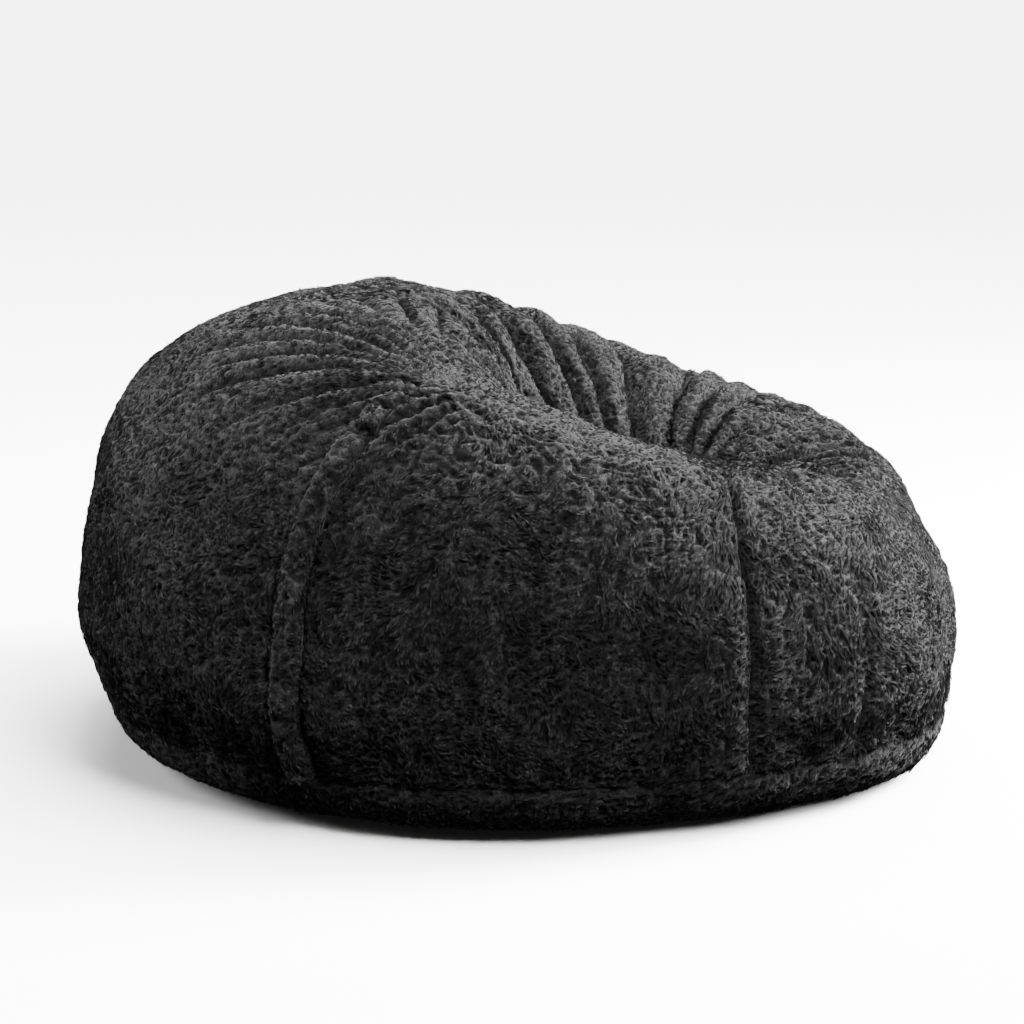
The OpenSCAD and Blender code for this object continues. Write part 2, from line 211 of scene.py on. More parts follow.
# Where the sack is fuller or slacker: azimuth in degrees, t, spread in degrees, spread in t, height
BULGES = ((154, 1.76, 20, 0.22, -0.020), (103, 1.95, 24, 0.30, 0.009), (28, 1.85, 26, 0.25, 0.007),
          (330, -0.30, 20, 0.55, 0.021), (201, -0.40, 16, 0.45, -0.002), (268, 1.0, 20, 0.60, 0.004),
          (350, 0.75, 16, 0.35, -0.008), (14, 1.45, 16, 0.25, -0.006))
INSET = 0.0055           # room for the pile inside the CAD face
CREASES = ((271, 0.0030), (316, 0.0050), (150, 0.0040), (30, 0.0040))   # azimuth in degrees, depth
SEAM_DEPTH, SEAM_WIDTH, SEAM_CREASE = 0.0085, 0.0075, 0.0035
LEDGE_DEPTH = 0.0020     # of the base seam


def fullness(a, t):
    """How far the cloth under the pile lies from the CAD face."""
    h = -INSET * smooth(t, -1.0, -0.6)
    for azimuth, at, spread, spread_t, height in BULGES:
        h = h + height * near_azimuth(a, azimuth, spread) * np.exp(-((t - at) / spread_t) ** 2)
    return h


def relief(p, a, t):
    """The height of folds, seams and lumps, and the creases in which the pile parts."""
    height, crease = pleats(p, a, t)
    height = height + fullness(a, t) + lumps(p) * smooth(t, -0.9, 0.2) * (1 - smooth(t, 2.6, 3.0))
    wander = 0.010 * noise(p, 0.055, 17) * smooth(np.abs(np.sin(3 * a)), 0.0, 0.05)
    seam = smooth(t, -0.1, 0.1) * (1 - smooth(t, 2.7, 2.95)) * (0.75 + 0.4 * noise(p, 0.07, 18))
    for k in range(len(GORES)):
        height = height - SEAM_DEPTH * seam_line(a + wander, k * math.pi / 3, SEAM_WIDTH) * seam
        crease = crease + 0.9 * seam_line(a + wander, k * math.pi / 3, SEAM_CREASE) * seam
    for azimuth, depth in CREASES:
        height = height - (depth * seam_line(a, math.radians(azimuth), 0.012) * smooth(t, 0.1, 0.4)
                           * (1 - smooth(t, 1.3, 1.6)))
    ledge = base_seam(a) * np.exp(-(t * 0.1 / 0.006) ** 2)
    return height - LEDGE_DEPTH * ledge, np.clip(crease + 0.35 * ledge, 0, 1)


SHEEN_PATCH, SHEEN_PATCH_R = (-0.045, 0.255), 0.075     # x, z and radius of a painted sheen highlight: a pale patch on the front where the pile lies flattened


def nap(p):
    """Brushed patches: the pile is paler where it lies one way and darker where it lies the other; and a
    painted sheen highlight on the front.
    """
    patch = noise(p * np.array([1.0, 1.0, 0.8]), 0.11, 91) + 0.6 * noise(p, 0.045, 92)
    streak = noise(p * np.array([1.0, 1.0, 0.35]), 0.030, 93)
    across, above = (p[..., 0] - SHEEN_PATCH[0]) / SHEEN_PATCH_R, (p[..., 2] - SHEEN_PATCH[1]) / SHEEN_PATCH_R
    # Painted sheen highlight: a pale patch on the front, where the pile lies flattened.
    sheen_patch = np.exp(-across ** 2 - above ** 2) * (p[..., 1] < 0)
    return 1.0 + 0.34 * patch + 0.22 * streak + sheen_patch * (0.55 + 0.9 * streak)


def pile_relief(p, seed):
    """Crimped ridges of pile: their height, and their painted shade, dark between the ridges and light on
    them.
    """
    warp = np.stack([noise(p, 0.022, seed + k) for k in range(3)], -1) * 0.007
    q = (p + warp) * np.array([1.0, 1.0, 1.5])
    clump = 1 - np.abs(noise(q, 0.0100, seed + 5)) * 1.9
    curl = 1 - np.abs(noise(q, 0.0062, seed + 6)) * 1.7
    return 0.0030 * clump + 0.0014 * curl, 0.22 + 1.25 * smooth(0.6 * clump + 0.4 * curl, 0.0, 0.95)


def grid_normals(p, wrap):
    """Unit normals of a grid of points; wrap joins its last column to its first."""
    if wrap:
        da = np.roll(p, -1, 1) - np.roll(p, 1, 1)
    else:
        da = np.gradient(p, axis=1)
    dt = np.gradient(p, axis=0)
    n = np.cross(da, dt)
    return n / np.maximum(np.linalg.norm(n, axis=-1, keepdims=True), 1e-9)


# ---- Mesh helpers ----

def mesh_object(name, verts, faces):
    mesh = bpy.data.meshes.new(name)
    verts = np.ascontiguousarray(verts.reshape(-1, 3), dtype=np.float32)
    faces = np.ascontiguousarray(faces, dtype=np.int32)
    mesh.vertices.add(len(verts))
    mesh.vertices.foreach_set("co", verts.ravel())
    mesh.loops.add(faces.size)
    mesh.loops.foreach_set("vertex_index", faces.ravel())
    mesh.polygons.add(len(faces))
    mesh.polygons.foreach_set("loop_start", np.arange(len(faces), dtype=np.int32) * faces.shape[1])
    mesh.polygons.foreach_set("loop_total", np.full(len(faces), faces.shape[1], dtype=np.int32))
    mesh.update(calc_edges=True)
    mesh.validate()
    mesh.polygons.foreach_set("use_smooth", np.ones(len(mesh.polygons), bool))
    obj = bpy.data.objects.new(name, mesh)
    bpy.context.scene.collection.objects.link(obj)
    return obj


def paint(obj, values):
    """Keeps the pile's tone at each vertex, for the material."""
    layer = obj.data.attributes.new("tone", "FLOAT", "POINT")
    layer.data.foreach_set("value", np.ascontiguousarray(values, dtype=np.float32).ravel())


def gore_columns(index, count):
    """A gore's columns in a grid right round the sack, with both of its edges."""
    return np.arange(index * count, (index + 1) * count + 1) % (len(GORES) * count)


def grid_faces(rows, cols, wrap=False):
    r, c = np.meshgrid(np.arange(rows - 1), np.arange(cols if wrap else cols - 1), indexing="ij")
    n = (c + 1) % cols
    return np.stack([r * cols + c, r * cols + n, (r + 1) * cols + n, (r + 1) * cols + c], -1).reshape(-1, 4)


def dress(obj, body, slot, material, *nodes):
    """Puts a piece on its body, in place of its CAD nodes."""
    obj.data.materials.append(material)
    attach(obj, body)
    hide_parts(*nodes)


# ---- Materials ----

class Nodes:
    """A short way to build a material's node tree."""

    def __init__(self, name):
        self.material = bpy.data.materials.new(name)
        self.material.use_nodes = True
        self.tree = self.material.node_tree
        self.tree.nodes.clear()
        self.output = self.tree.nodes.new("ShaderNodeOutputMaterial")
        self.shader = self.tree.nodes.new("ShaderNodeBsdfPrincipled")
        self.tree.links.new(self.shader.outputs[0], self.output.inputs[0])

    def add(self, kind, inputs=None, **settings):
        node = self.tree.nodes.new("ShaderNode" + kind)
        for key, value in settings.items():
            setattr(node, key, value)
        for key, value in (inputs or {}).items():
            self.put(node, key, value)
        return node

    def put(self, node, key, value):
        if isinstance(value, bpy.types.NodeSocket):
            self.tree.links.new(value, node.inputs[key])
        else:
            node.inputs[key].default_value = value

    def set(self, **values):
        for key, value in values.items():
            self.put(self.shader, key.replace("_", " "), value)

    def coords(self, scale=(1, 1, 1)):
        geometry = self.add("TexCoord")
        return self.add("Mapping", {"Vector": geometry.outputs["Object"], "Scale": scale}).outputs[0]

    def noise(self, vector, scale, detail=3.0, rough=0.55, distort=0.0):
        return self.add("TexNoise", {"Vector": vector, "Scale": scale, "Detail": detail, "Roughness": rough,
                                     "Distortion": distort}).outputs["Fac"]

    def ramp(self, value, *stops):
        node = self.add("ValToRGB", {"Fac": value})
        ramp = node.color_ramp
        while len(ramp.elements) < len(stops):
            ramp.elements.new(0.5)
        for element, (at, colour) in zip(ramp.elements, stops):
            element.position = at
            element.color = (*colour, 1)
        return node.outputs["Color"]

    def maths(self, operation, a, b=0.0):
        return self.add("Math", {0: a, 1: b}, operation=operation).outputs[0]

    def bump(self, height, strength, distance):
        return self.add("Bump", {"Height": height, "Strength": strength, "Distance": distance}).outputs[0]


def grey(v, warm=0.0):
    """A grey of this strength, a little warm."""
    return (v * (1 + warm), v, v * (1 - warm))


def plush_material():
    """Charcoal plush: dark roots, lighter tips, and the tone at each vertex: swept patches of nap, with
    painted shade and a painted sheen highlight.
    """
    m = Nodes("charcoal_plush")
    p = m.coords()
    curl = m.noise(p, 75.0, 4.0, 0.65, 1.4)
    strand = m.noise(m.coords((1, 1, 0.4)), 420.0, 2.0, 0.6, 0.8)
    height = m.maths("ADD", m.maths("MULTIPLY", curl, 0.7), m.maths("MULTIPLY", strand, 0.3))
    fibre = m.ramp(height, (0.34, grey(0.004)), (0.50, grey(0.014, 0.01)), (0.68, grey(0.045, 0.01)))
    tone = m.add("Attribute", attribute_name="tone").outputs["Fac"]
    colour = m.add("VectorMath", {0: fibre, "Scale": tone}, operation="SCALE").outputs[0]
    m.set(Base_Color=colour, Roughness=0.85, Normal=m.bump(height, 0.9, 0.004))
    m.set(Specular_IOR_Level=0.20, Sheen_Weight=0.15, Sheen_Roughness=0.45, Sheen_Tint=(0.8, 0.8, 0.82, 1))
    return m.material


def strand_material():
    """Pile strands, dark at the root and paler towards the tip, in the tone of their lock and of the painted
    shade beneath them.
    """
    m = Nodes("plush_strand")
    hair = m.add("HairInfo")
    along = m.ramp(hair.outputs["Intercept"],
                   (0.0, grey(0.0015)), (0.45, grey(0.007)), (1.0, grey(0.048, 0.01)))
    tone = m.add("Attribute", attribute_name="tone").outputs["Fac"]
    colour = m.add("VectorMath", {0: along, "Scale": tone}, operation="SCALE").outputs[0]
    m.set(Base_Color=colour, Roughness=0.60)
    m.set(Specular_IOR_Level=0.12)
    return m.material


def woven_material(name, dark, light, threads, roughness=0.9):
    """Plain woven cloth between two colours."""
    m = Nodes(name)
    p = m.coords()
    wave = {"Vector": p, "Scale": threads, "Distortion": 1.2, "Detail": 1.0}
    warp = m.add("TexWave", wave, bands_direction="X")
    weft = m.add("TexWave", wave, bands_direction="Z")
    cloth = m.maths("MULTIPLY", warp.outputs["Fac"], weft.outputs["Fac"])
    tone = m.maths("ADD", m.maths("MULTIPLY", cloth, 0.5), m.maths("MULTIPLY", m.noise(p, 40.0), 0.5))
    m.set(Base_Color=m.ramp(tone, (0.2, dark), (0.8, light)), Roughness=roughness,
          Normal=m.bump(cloth, 0.4, 0.0004))
    m.set(Sheen_Weight=0.1)
    return m.material


def metal_material():
    m = Nodes("zip_metal")
    scuff = m.noise(m.coords(), 700.0, 3.0, 0.6)
    m.set(Base_Color=m.ramp(scuff, (0.3, (0.14, 0.14, 0.145)), (0.7, (0.26, 0.26, 0.27))),
          Roughness=m.add("MapRange", {"Value": scuff, "To Min": 0.28, "To Max": 0.5}).outputs[0],
          Normal=m.bump(scuff, 0.15, 0.0002))
    m.set(Metallic=1.0)
    return m.material


def coil_material():
    m = Nodes("zip_coil")
    teeth = m.noise(m.coords(), 900.0, 1.0)
    m.set(Base_Color=m.ramp(teeth, (0.35, grey(0.012)), (0.65, grey(0.05))), Roughness=0.45,
          Normal=m.bump(teeth, 0.6, 0.0006))
    return m.material


def foam_material():
    m = Nodes("shredded_foam")
    crumb = m.add("TexVoronoi", {"Vector": m.coords(), "Scale": 60.0}).outputs["Distance"]
    m.set(Base_Color=m.ramp(crumb, (0.0, (0.72, 0.58, 0.36)), (0.6, (0.42, 0.31, 0.18))), Roughness=0.95,
          Normal=m.bump(crumb, 0.8, 0.006))
    return m.material


# ---- Cloth simulation ----

SIM_COLUMN_STEP, SIM_ROW_STEP = 6, 4     # the cover grid's columns and rows in one cell of the cloth
SIM_FRAMES = 20
SIM_CAP = 0.012          # how far the cloth may settle from its drawn shape


def spread(coarse, step_c, row_at, rows):
    """Bilinear values on the dense grid from a coarse one that wraps round."""
    cols = coarse.shape[1] * step_c
    c = np.arange(cols) / step_c
    c0 = np.floor(c).astype(int)
    u = (c - c0)[None, :, None]
    c0, c1 = c0 % coarse.shape[1], (c0 + 1) % coarse.shape[1]
    r = np.interp(np.arange(rows), row_at, np.arange(len(row_at)))
    r0 = np.minimum(r.astype(int), len(row_at) - 2)
    v = (r - r0)[:, None, None]
    low = coarse[r0][:, c0] * (1 - u) + coarse[r0][:, c1] * u
    high = coarse[r0 + 1][:, c0] * (1 - u) + coarse[r0 + 1][:, c1] * u
    return low * (1 - v) + high * v


def settle(p):
    """Blows the cover up between its sewn seams as cloth, and returns how far each point moves."""
    row_at = np.append(np.arange(0, len(p) - 1, SIM_ROW_STEP), len(p) - 1)
    coarse = p[row_at][:, ::SIM_COLUMN_STEP]
    rows, cols = coarse.shape[:2]
    obj = mesh_object("settling_cloth", coarse, grid_faces(rows, cols, True))
    held = obj.vertex_groups.new(name="sewn")
    index = np.arange(rows * cols).reshape(rows, cols)
    seams = index[:, ::COLUMNS // SIM_COLUMN_STEP].ravel()
    ends = np.concatenate([index[:1].ravel(), index[-2:].ravel()])
    held.add(np.unique(np.concatenate([seams, ends])).tolist(), 1.0, "REPLACE")
    cloth = obj.modifiers.new("cloth", "CLOTH")
    cloth.settings.quality = 5
    cloth.settings.mass = 0.4
    cloth.settings.effector_weights.gravity = 0
    cloth.settings.use_pressure = True
    cloth.settings.uniform_pressure_force = 2.0
    cloth.settings.tension_stiffness = cloth.settings.compression_stiffness = 20
    cloth.settings.bending_stiffness = 0.4
    cloth.settings.vertex_group_mass = "sewn"
    cloth.settings.shrink_min = -0.035
    cloth.collision_settings.use_collision = False
    cloth.point_cache.frame_end = SIM_FRAMES
    scene = bpy.context.scene
    for frame_number in range(1, SIM_FRAMES + 1):
        scene.frame_set(frame_number)
    settled = obj.evaluated_get(bpy.context.evaluated_depsgraph_get()).to_mesh()
    q = np.empty(rows * cols * 3, np.float32)
    settled.vertices.foreach_get("co", q)
    bpy.data.objects.remove(obj, do_unlink=True)
    scene.frame_set(1)
    move = q.reshape(rows, cols, 3) - coarse
    size = np.linalg.norm(move, axis=-1, keepdims=True)
    move *= SIM_CAP / (SIM_CAP + size)
    return spread(move, SIM_COLUMN_STEP, row_at, len(p))


# ---- The plush cover ----

ZIPPED = ("left", "back_left")
ZIP_ROWS = 3             # rows left out of a zipped gore, above the zip
ZIP_SLIT = 0.063         # and the base's share of the slit, in t
COLUMNS = 180            # per gore
SIDE_ROWS, SHOULDER_ROWS, HOLLOW_ROWS = 44, 140, 120
CREASE_SHADE = 0.78       # painted shade: how much darker the pile is painted where it parts in a crease or seam
CREASE_BARE = 0.80       # and how much lower
TUCK_STEPS, TUCK_DEPTH = 2, 0.008


def cover_grid():
    """The cover's folded face as one grid right round the sack, before the pile."""
    columns = len(GORES) * COLUMNS
    a = np.arange(columns) * TAU / columns
    t = np.concatenate([np.linspace(0, 1, SIDE_ROWS, endpoint=False),
                        np.linspace(1, 2, SHOULDER_ROWS, endpoint=False), np.linspace(2, 3, HOLLOW_ROWS)])
    a, t = np.meshgrid(a, t)
    p = skin(bend_azimuth(a, t), t)
    height, crease = relief(p, a, t)
    p = p + height[..., None] * grid_normals(p, True)
    p = p + settle(p)
    hollow_shade = 1 - 0.28 * smooth(t, 1.80, 2.15)      # painted shade: the pile is painted darker in the hollow
    return t, p, nap(p) * hollow_shade * (1 - CREASE_SHADE * crease), crease


def tucked_edge(p, n, axis):
    """Two rows below each end of a grid along one axis."""
    steps = [TUCK_DEPTH * (k + 1) / TUCK_STEPS for k in range(TUCK_STEPS)]
    first, last = np.take(p, 0, axis), np.take(p, -1, axis)
    first_n, last_n = np.take(n, 0, axis), np.take(n, -1, axis)
    before = np.stack([first - first_n * step for step in steps[::-1]], axis)
    after = np.stack([last - last_n * step for step in steps], axis)
    return np.concatenate([before, p, after], axis)


def tuck(p, n):
    """Extra rows that turn a grid's edges into the sack, as a seam allowance does."""
    p = tucked_edge(p, n, 0)
    n = np.concatenate([np.repeat(n[:1], TUCK_STEPS, 0), n, np.repeat(n[-1:], TUCK_STEPS, 0)])
    return tucked_edge(p, n, 1)


def build_gores(material):
    """The six plush gores, and the cover's own grid with its pile's ridges."""
    t, p, tone, crease = cover_grid()
    n = grid_normals(p, True)
    height, ridge_shade = pile_relief(p, 21)
    p = p + (height * (1 - CREASE_BARE * crease))[..., None] * n
    # Painted shade between the pile's ridges, and painted light on them.
    tone = tone * ridge_shade
    gores = []
    for index, side in enumerate(GORES):
        columns = gore_columns(index, COLUMNS)
        first = ZIP_ROWS if side in ZIPPED else 0
        piece_p = tuck(p[first:, columns], n[first:, columns])
        piece = mesh_object("plush_" + side, piece_p, grid_faces(*piece_p.shape[:2]))
        paint(piece, np.pad(tone[first:, columns], TUCK_STEPS, mode="edge"))
        dress(piece, "sack", "plush", material, "cover_" + side)
        gores.append(piece)
    return gores, (t, p, n, tone, crease)


FOOT_INSET = 0.028       # the sack's foot is a little smaller than the CAD disc
LOWEST = 0.0008          # of the plush, above the floor
BASE_COLUMNS, BASE_ROWS, DISC_ROWS = 900, 46, 24
ZIP_MIDDLE = math.radians(120)


def build_base(material):
    """The base panel: a flat disc on the floor that rolls up to the base seam."""
    a = np.arange(BASE_COLUMNS) * TAU / BASE_COLUMNS
    t = np.linspace(-1, 0, BASE_ROWS)
    a, t = np.meshgrid(a, t)
    gap = angle_gap(a, ZIP_MIDDLE)
    zipped = smooth(gap, -1.055, -1.045) * (1 - smooth(gap, 1.035, 1.045))
    t = -1 + (t + 1) * (1 - ZIP_SLIT * zipped)
    p = skin(a, t)
    n = grid_normals(p, True)
    puff = smooth(t, -1.0, -0.55)
    height, crease = relief(p, a, t)
    ridges, ridge_shade = pile_relief(p, 31)
    p = p + (height + puff * ridges * (1 - CREASE_BARE * crease))[..., None] * n
    p = p - FOOT_INSET * (1 - smooth(t, -1.0, -0.3))[..., None] * out(a)
    p[..., 2] = np.maximum(p[..., 2], LOWEST)
    # Painted shade: dark between the pile's ridges and in creases, and darker towards the floor as a contact
    # shadow.
    tone = ridge_shade * nap(p) * (1 - CREASE_SHADE * crease) * (0.6 + 0.4 * smooth(p[..., 2], 0.01, 0.05))
    radii = np.linspace(0.98, 0.0, DISC_ROWS)
    disc = flat(p[0]) * radii[:, None, None] + np.array([0, 0, LOWEST])
    rim_in = p[-1] - n[-1] * 0.010
    rows = np.concatenate([disc[::-1], p, rim_in[None]])
    piece = mesh_object("plush_base", rows, grid_faces(len(rows), BASE_COLUMNS, True))
    paint(piece, np.concatenate([np.repeat(tone[:1], DISC_ROWS, 0), tone, tone[-1:]]))
    dress(piece, "sack", "plush", material, "cover_base")
    return piece, (p, n, tone, crease)


CAP_COLUMNS, CAP_ROWS, CAP_R = 120, 30, 0.070


def build_cap(material):
    """The small crowned disc that closes the bottom of the hollow."""
    a = np.arange(CAP_COLUMNS) * TAU / CAP_COLUMNS
    r = np.linspace(0, 1, CAP_ROWS)
    a, r = np.meshgrid(a, r)
    p = np.array([HOLLOW_FORWARD, 0, HOLLOW_H + 0.004]) + r[..., None] * CAP_R * out(a)
    p[..., 2] += 0.008 * (1 - r ** 2) - 0.006 * smooth(r, 0.85, 1.0)
    n = up(np.ones(a.shape))
    height, ridge_shade = pile_relief(p, 41)
    p = p + height[..., None] * n
    piece = mesh_object("plush_top_cap", p, grid_faces(CAP_ROWS, CAP_COLUMNS, True))
    # Painted shade: dark between the pile's ridges, and the whole cap darker at the bottom of the hollow.
    tone = ridge_shade * nap(p) * 0.8
    paint(piece, tone)
    dress(piece, "sack", "plush", material, "cover_top_cap")
    return piece, (p, n, tone, 0 * tone)


BAND_AZIMUTH = math.radians(240)
BAND_HALF, BAND_LIFT = 0.0185, 0.016     # half of its width, and how far it stands up
BAND_ASIDE = 0.017                       # from the seam to the band's middle
BAND_SPARE = 6                           # rows left free below the crest
BAND_COLUMNS = 30


def build_band(material, cover):
    """The raised felled seam: a padded plush strip that follows the cover's own folded face."""
    p, n = cover[1:3]
    column = int(round(BAND_AZIMUTH / TAU * len(GORES) * COLUMNS))
    rows = np.arange(SIDE_ROWS + SHOULDER_ROWS - BAND_SPARE)
    path, nrm = p[rows, column], n[rows, column]
    for _ in range(8):
        path[1:-1] = (path[:-2] + path[1:-1] * 2 + path[2:]) / 4
        nrm[1:-1] = (nrm[:-2] + nrm[1:-1] * 2 + nrm[2:]) / 4
    side = np.cross(np.gradient(path, axis=0), nrm)
    side /= np.linalg.norm(side, axis=1, keepdims=True)
    along = np.linspace(0, 1, len(rows))
    fade = 1 - smooth(along, 0.62, 1.0)
    s = np.linspace(-1, 1, BAND_COLUMNS)
    lift = fade[:, None] * BAND_LIFT * (1 - np.abs(s) ** 3.6)
    width = (BAND_HALF + 0.0015 * np.sin(along * 9)) * (0.35 + 0.65 * fade)
    centre = path - side * BAND_ASIDE
    grid = (centre[:, None] + side[:, None] * (s[None, :, None] * width[:, None, None])
            + nrm[:, None] * (lift[..., None] + 0.012 * fade[:, None, None] - 0.006))
    gn = grid_normals(grid, False)
    gn *= np.sign((gn * nrm[:, None]).sum(-1, keepdims=True))
    height, ridge_shade = pile_relief(grid, 51)
    grid = grid + (height * (1 - np.abs(s[None]) ** 6))[..., None] * gn
    foot = np.concatenate([grid[:, :1] - nrm[:, None] * 0.020, grid, grid[:, -1:] - nrm[:, None] * 0.020], 1)
    piece = mesh_object("plush_seam_band", foot, grid_faces(*foot.shape[:2]))
    # Painted light and shade: the band is painted paler along its raised middle and darker towards its
    # edges.
    tone = ridge_shade * nap(grid) * (1.3 - 0.6 * np.abs(s[None]) ** 5)
    paint(piece, np.pad(tone, ((0, 0), (1, 1)), mode="edge"))
    dress(piece, "sack", "plush", material, "seam_band")
    return piece, (grid, gn, tone, 0 * tone)


# ---- Layers under the cover ----

LAYER_CELLS = 36                         # across one panel of an inner layer
LINER_DROP, FILL_DROP = 0.009, 0.016     # below the cover's deepest folds


def lowest_near(h):
    """Each point's lowest neighbour, so that an inner layer clears every fold."""
    above, below = np.concatenate([h[:1], h[:-1]]), np.concatenate([h[1:], h[-1:]])
    h = np.minimum(np.minimum(above, h), below)
    return np.minimum(np.minimum(np.roll(h, 1, 1), h), np.roll(h, -1, 1))


def inner_grid(drop):
    """A coarse grid right round the sack, from the foot to the gather, under all of the cover's folds."""
    columns = len(GORES) * LAYER_CELLS
    a = np.arange(columns) * TAU / columns
    t = np.concatenate([np.linspace(-1, 0, 9)[:-1], np.linspace(0, 1, 13)[:-1], np.linspace(1, 2, 25)[:-1],
                        np.linspace(2, 3, 25)])
    a, t = np.meshgrid(a, t)
    p = skin(bend_azimuth(a, t), t)
    n = grid_normals(p, True)
    h = lowest_near(lowest_near(relief(p, a, t)[0]))
    for _ in range(2):
        h = (np.roll(h, 1, 1) + 2 * h + np.roll(h, -1, 1)) / 4
    h = np.minimum(np.maximum(h, -0.060) - drop, -0.010 - drop)
    p = p + h[..., None] * n
    p[..., 2] = np.maximum(p[..., 2], 0.014 + drop * 0.6)
    return t, p


def build_liner(material):
    """The liner's six crumpled panels and its small cap."""
    t, p = inner_grid(LINER_DROP)
    crumple = 0.0020 * noise(p, 0.030, 61) + 0.0030 * noise(p, 0.075, 62) - 0.002
    p = p + crumple[..., None] * grid_normals(p, True) * smooth(t, -0.6, 0.0)[..., None]
    first = int(np.argmax(t[:, 0] >= 0))
    for index, side in enumerate(GORES):
        q = p[first:, gore_columns(index, LAYER_CELLS)]
        piece = mesh_object("liner_cloth_" + side, q, grid_faces(*q.shape[:2]))
        dress(piece, "sack", "liner", material, "liner_" + side)
    middle = p[-1].mean(0)
    q = middle + (p[-1] - middle) * np.linspace(1, 0, 8)[:, None, None]
    piece = mesh_object("liner_cloth_top", q, grid_faces(*q.shape[:2], True))
    dress(piece, "sack", "liner", material, "liner_top_cap")


def build_fill(material):
    """The shredded foam, as one closed lumpy solid."""
    t, p = inner_grid(FILL_DROP)
    n = grid_normals(p, True)
    p = p + (0.0035 * noise(p, 0.020, 66) - 0.003)[..., None] * n * smooth(t, -0.9, -0.5)[..., None]
    low, high = p[0].mean(0), p[-1].mean(0)
    fan = np.linspace(0, 1, 10)[:-1, None, None]
    q = np.concatenate([low + (p[0] - low) * fan, p, high + (p[-1] - high) * fan[::-1]])
    piece = mesh_object("foam_crumb_fill", q, grid_faces(*q.shape[:2], True))
    dress(piece, "sack", "filling", material, "foam_fill")


BINDING_NAMES = ["front", "front_left", "back_left", "back", "back_right", "front_right"]
BINDING_HALF, BINDING_DEPTH = 0.0075, 0.0085
BINDING_SECTION = ((-1, 0), (-0.5, 0.0004), (0, 0.0008), (0.5, 0.0004), (1, 0),     # across, and height
                   (1, -0.0012), (0, -0.0004), (-1, -0.0012))


def build_bindings(material, cover):
    """A folded tape behind each seam, which follows the cover's own face and narrows to the gather."""
    t, p, n = cover[:3]
    for k, where in enumerate(BINDING_NAMES):
        path, nrm = p[4:-6:3, k * COLUMNS], n[4:-6:3, k * COLUMNS]
        for _ in range(4):
            nrm[1:-1] = (nrm[:-2] + 2 * nrm[1:-1] + nrm[2:]) / 4
        side = np.cross(np.gradient(path, axis=0), nrm)
        side /= np.linalg.norm(side, axis=1, keepdims=True)
        half = BINDING_HALF * np.clip(2.2 - 0.6 * t[4:-6:3, 0], 0.35, 1)
        ring = np.stack([path + side * (x * half)[:, None] + nrm * (y - BINDING_DEPTH)
                         for x, y in BINDING_SECTION], 1)
        piece = mesh_object("binding_tape_" + where, ring, grid_faces(*ring.shape[:2], True))
        dress(piece, "sack", "binding", material, "seam_binding_" + where)


# ---- Pile ----

def scatter(p, wrap, spacing, rng):
    """Random points over a grid, evenly by area: each one's cell, and where it lies in the cell."""
    q = np.concatenate([p, p[:, :1]], 1) if wrap else p
    e1, e2 = q[:-1, 1:] - q[:-1, :-1], q[1:, :-1] - q[:-1, :-1]
    area = np.linalg.norm(np.cross(e1, e2), axis=-1)
    share = area.ravel() / spacing ** 2
    number = np.floor(share + rng.random(share.size)).astype(int)
    cell = np.repeat(np.arange(share.size), number)
    r, c = np.unravel_index(cell, area.shape)
    return r, c, rng.random(len(cell)), rng.random(len(cell))


def sample(field, r, c, u, v, wrap):
    """A grid's values at the points that scatter gives."""
    c1 = (c + 1) % field.shape[1] if wrap else c + 1
    u, v = u[:, None], v[:, None]
    return ((1 - u) * (1 - v) * field[r, c] + u * (1 - v) * field[r, c1]
            + (1 - u) * v * field[r + 1, c] + u * v * field[r + 1, c1])


def nearest_lock(p, size, seed):
    """The middle of the nearest lock of pile, and four random numbers that the lock's strands share."""
    cell = np.floor(p / size)
    best = np.full(len(p), 1e9)
    centre = np.zeros_like(p)
    lot = np.zeros((len(p), 4))
    for step in np.ndindex(3, 3, 3):
        k = cell + np.array(step) - 1
        h = k[:, 0] * 127.1 + k[:, 1] * 311.7 + k[:, 2] * 74.7 + seed * 3.3
        r = np.stack([np.modf(np.abs(np.sin(h + j * 19.19)) * 43758.5453)[0] for j in range(4)], -1)
        c = (k + r[:, :3]) * size
        d = ((c - p) ** 2).sum(1)
        closer = d < best
        best = np.where(closer, d, best)
        centre[closer] = c[closer]
        lot[closer] = r[closer]
    return centre, lot


def combed_out(p):
    """Over the crest the pile is drawn along the folds, away from the hollow."""
    away = flat(p - np.array([HOLLOW_FORWARD + 0.07, 0, 0]))
    far = np.linalg.norm(away, axis=1, keepdims=True)
    top = smooth(p[:, 2:], 0.30, 0.48)
    return away / np.maximum(far, 0.05) * top


def clear_of_fittings(root):
    """The pile is worn short round the care label and round the zip's slider and pull."""
    azimuth = np.degrees(np.arctan2(root[:, 1], root[:, 0] - BASE_FORWARD)) % 360
    label = (azimuth > 45.3) & (azimuth < 49.9) & (root[:, 2] < SEAM_Z + 0.006)
    pull = (azimuth > 63.3) & (azimuth < 66.7) & (root[:, 2] > 0.030) & (root[:, 2] < SEAM_Z + 0.022)
    return (root[:, 2] > 0.010) & ~label & ~pull


PILE_SPACING, PILE_LENGTH = 0.0019, 0.0080
SHORT_PILE = PILE_LENGTH * 0.8           # on the base and the band
STRAND_POINTS, STRAND_RADIUS = 5, 0.00034
LOCK_SIZE = 0.0062                       # strands this near share a lean, a length and a shade


